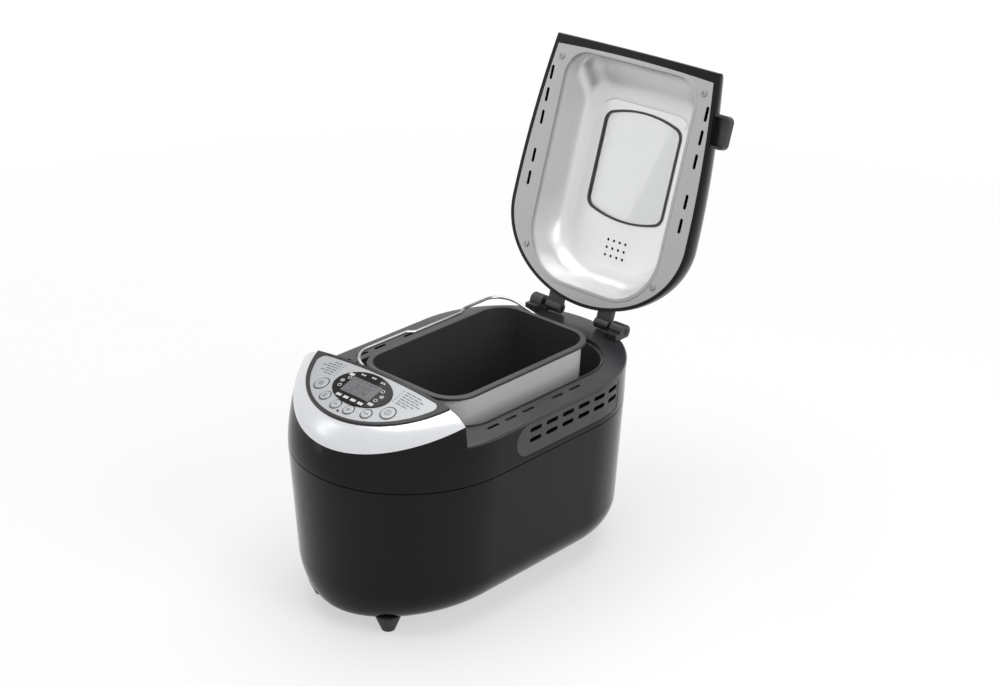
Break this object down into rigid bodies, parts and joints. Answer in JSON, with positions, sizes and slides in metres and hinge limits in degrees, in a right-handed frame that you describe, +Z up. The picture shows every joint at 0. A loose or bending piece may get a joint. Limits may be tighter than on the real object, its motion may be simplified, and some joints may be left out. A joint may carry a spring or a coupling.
{
  "type": "bread machine",
  "caption": "Two-paddle bread machine: rounded housing with a sloped control console, lift-out pan with wire handle, belt drive and a hinged lid with a window.",
  "frame": {"origin": "on the counter under the middle of the body (the point stand_centre); the lowest point of the feet is at z = 0", "axes": "+Z up, -Y towards the console end, +Y towards the lid hinge, +X towards the side with the vent grille"},
  "size_m": [0.246, 0.4615, 0.4659],
  "materials": {
    "body_black": "gloss black",
    "foot_rubber": "black rubber",
    "zinc_plate": "zinc-plated steel",
    "hinge_plastic": "black",
    "grille_grey": "matte dark grey",
    "deck_dark": "satin charcoal",
    "silver_trim": "silver metallic paint",
    "bezel_dark": "satin charcoal",
    "panel_silver": "light silver grey",
    "display_window": "gloss black window",
    "display_module": "grey-green display",
    "circuit_board": "green board",
    "lamp_red": "red lamp",
    "tub_steel": "coated steel",
    "element_steel": "heat-darkened steel",
    "steel": "bright steel",
    "brass_bush": "sintered brass",
    "belt_rubber": "black rubber",
    "motor_steel": "grey enamel",
    "pulley_plastic": "off-white nylon",
    "pan_aluminium": "cast aluminium, dark non-stick inside",
    "seal_rubber": "dark silicone",
    "bail_chrome": "bright wire",
    "paddle_dark": "dark non-stick",
    "lid_black": "gloss black",
    "grip_black": "black",
    "liner_aluminium": "satin aluminium",
    "gasket_dark": "dark silicone",
    "window_glass": "clear glass",
    "button_grey": "light silver grey"
  },
  "bodies": {
    "housing": {"lower_housing": "body_black", "feet": "foot_rubber", "base_plate": "zinc_plate", "housing_screws": "zinc_plate", "rear_cover": "hinge_plastic", "power_inlet": "hinge_plastic", "upper_housing": "body_black", "side_grille": "grille_grey", "deck_frame": "deck_dark", "console_trim": "silver_trim", "console_bezel": "bezel_dark", "control_panel": "panel_silver", "lcd_window": "display_window", "lcd_module": "display_module", "control_board": "circuit_board", "status_led": "lamp_red", "chamber_tub": "tub_steel", "heating_element": "element_steel", "element_clips": "zinc_plate", "temperature_probe": "steel", "pan_seat": "zinc_plate", "chassis_plate": "zinc_plate", "drive_bearings": "brass_bush", "drive_belt": "belt_rubber", "motor": "motor_steel", "power_board": "circuit_board", "hinge_bosses": "hinge_plastic", "hinge_pins": "steel"},
    "motor_rotor": {"motor_shaft": "steel", "motor_pulley": "pulley_plastic"},
    "drive_front": {"drive_pulley_front": "pulley_plastic", "drive_spindle_front": "steel", "drive_coupler_front": "zinc_plate"},
    "drive_rear": {"drive_pulley_rear": "pulley_plastic", "drive_spindle_rear": "steel", "drive_coupler_rear": "zinc_plate"},
    "pan": {"bread_pan": "pan_aluminium", "pan_foot": "pan_aluminium", "pan_bushes": "brass_bush", "shaft_seals": "seal_rubber", "bail_ears": "zinc_plate"},
    "bail": {"bail_handle": "bail_chrome"},
    "shaft_front": {"pan_shaft_front": "steel"},
    "shaft_rear": {"pan_shaft_rear": "steel"},
    "kneader_front": {"paddle_front": "paddle_dark"},
    "kneader_rear": {"paddle_rear": "paddle_dark"},
    "lid": {"lid_shell": "lid_black", "lid_grip": "grip_black", "lid_liner": "liner_aluminium", "window_gasket": "gasket_dark", "window_inner_glass": "window_glass", "window_outer_glass": "window_glass", "lid_screws": "steel", "hinge_arms": "hinge_plastic"},
    "button_start_key": {"button_start": "button_grey"},
    "button_loaf_key": {"button_loaf": "button_grey"},
    "button_plus_key": {"button_plus": "button_grey"},
    "button_minus_key": {"button_minus": "button_grey"},
    "button_crust_key": {"button_crust": "button_grey"},
    "button_menu_key": {"button_menu": "button_grey"}
  },
  "joints": [
    {"name": "lid_hinge", "type": "hinge", "parent": "housing", "child": "lid", "pos_m": [0, 0.1792, 0.2064], "axis": [1, 0, 0], "range_deg": [0, 107.7]},
    {"name": "pan_lift", "type": "slide", "parent": "housing", "child": "pan", "axis": [0, 0, 1], "range_m": [0, 0.2]},
    {"name": "bail_pivot", "type": "hinge", "parent": "pan", "child": "bail", "pos_m": [0, 0.032, 0.208], "axis": [0, 1, 0], "range_deg": [0, 153]},
    {"name": "pan_shaft_front_spin", "type": "hinge", "parent": "pan", "child": "shaft_front", "pos_m": [0, -0.015, 0.08], "axis": [0, 0, 1], "continuous": true},
    {"name": "paddle_front_lift", "type": "slide", "parent": "shaft_front", "child": "kneader_front", "axis": [0, 0, 1], "range_m": [0, 0.06]},
    {"name": "drive_front_spin", "type": "hinge", "parent": "housing", "child": "drive_front", "pos_m": [0, -0.015, 0.03], "axis": [0, 0, 1], "continuous": true},
    {"name": "pan_shaft_rear_spin", "type": "hinge", "parent": "pan", "child": "shaft_rear", "pos_m": [0, 0.078, 0.08], "axis": [0, 0, 1], "continuous": true},
    {"name": "paddle_rear_lift", "type": "slide", "parent": "shaft_rear", "child": "kneader_rear", "axis": [0, 0, 1], "range_m": [0, 0.06]},
    {"name": "drive_rear_spin", "type": "hinge", "parent": "housing", "child": "drive_rear", "pos_m": [0, 0.078, 0.03], "axis": [0, 0, 1], "continuous": true},
    {"name": "motor_spin", "type": "hinge", "parent": "housing", "child": "motor_rotor", "pos_m": [0, -0.126, 0.03], "axis": [0, 0, 1], "continuous": true},
    {"name": "button_start_press", "type": "slide", "parent": "housing", "child": "button_start_key", "axis": [-0.064, 0.3195, -0.9454], "range_m": [0, 0.0008], "stiffness_N_per_m": 300},
    {"name": "button_loaf_press", "type": "slide", "parent": "housing", "child": "button_loaf_key", "axis": [-0.0394, 0.32, -0.9466], "range_m": [0, 0.0008], "stiffness_N_per_m": 300},
    {"name": "button_plus_press", "type": "slide", "parent": "housing", "child": "button_plus_key", "axis": [-0.0123, 0.3202, -0.9473], "range_m": [0, 0.0008], "stiffness_N_per_m": 300},
    {"name": "button_minus_press", "type": "slide", "parent": "housing", "child": "button_minus_key", "axis": [0.0123, 0.3202, -0.9473], "range_m": [0, 0.0008], "stiffness_N_per_m": 300},
    {"name": "button_crust_press", "type": "slide", "parent": "housing", "child": "button_crust_key", "axis": [0.0394, 0.32, -0.9466], "range_m": [0, 0.0008], "stiffness_N_per_m": 300},
    {"name": "button_menu_press", "type": "slide", "parent": "housing", "child": "button_menu_key", "axis": [0.064, 0.3195, -0.9454], "range_m": [0, 0.0008], "stiffness_N_per_m": 300}
  ],
  "couplings": [
    {"joint": "drive_rear_spin", "follows": "drive_front_spin", "ratio": 1},
    {"joint": "motor_spin", "follows": "drive_front_spin", "ratio": 4},
    {"joint": "pan_shaft_front_spin", "follows": "drive_front_spin", "ratio": 1},
    {"joint": "pan_shaft_rear_spin", "follows": "drive_front_spin", "ratio": 1}
  ]
}
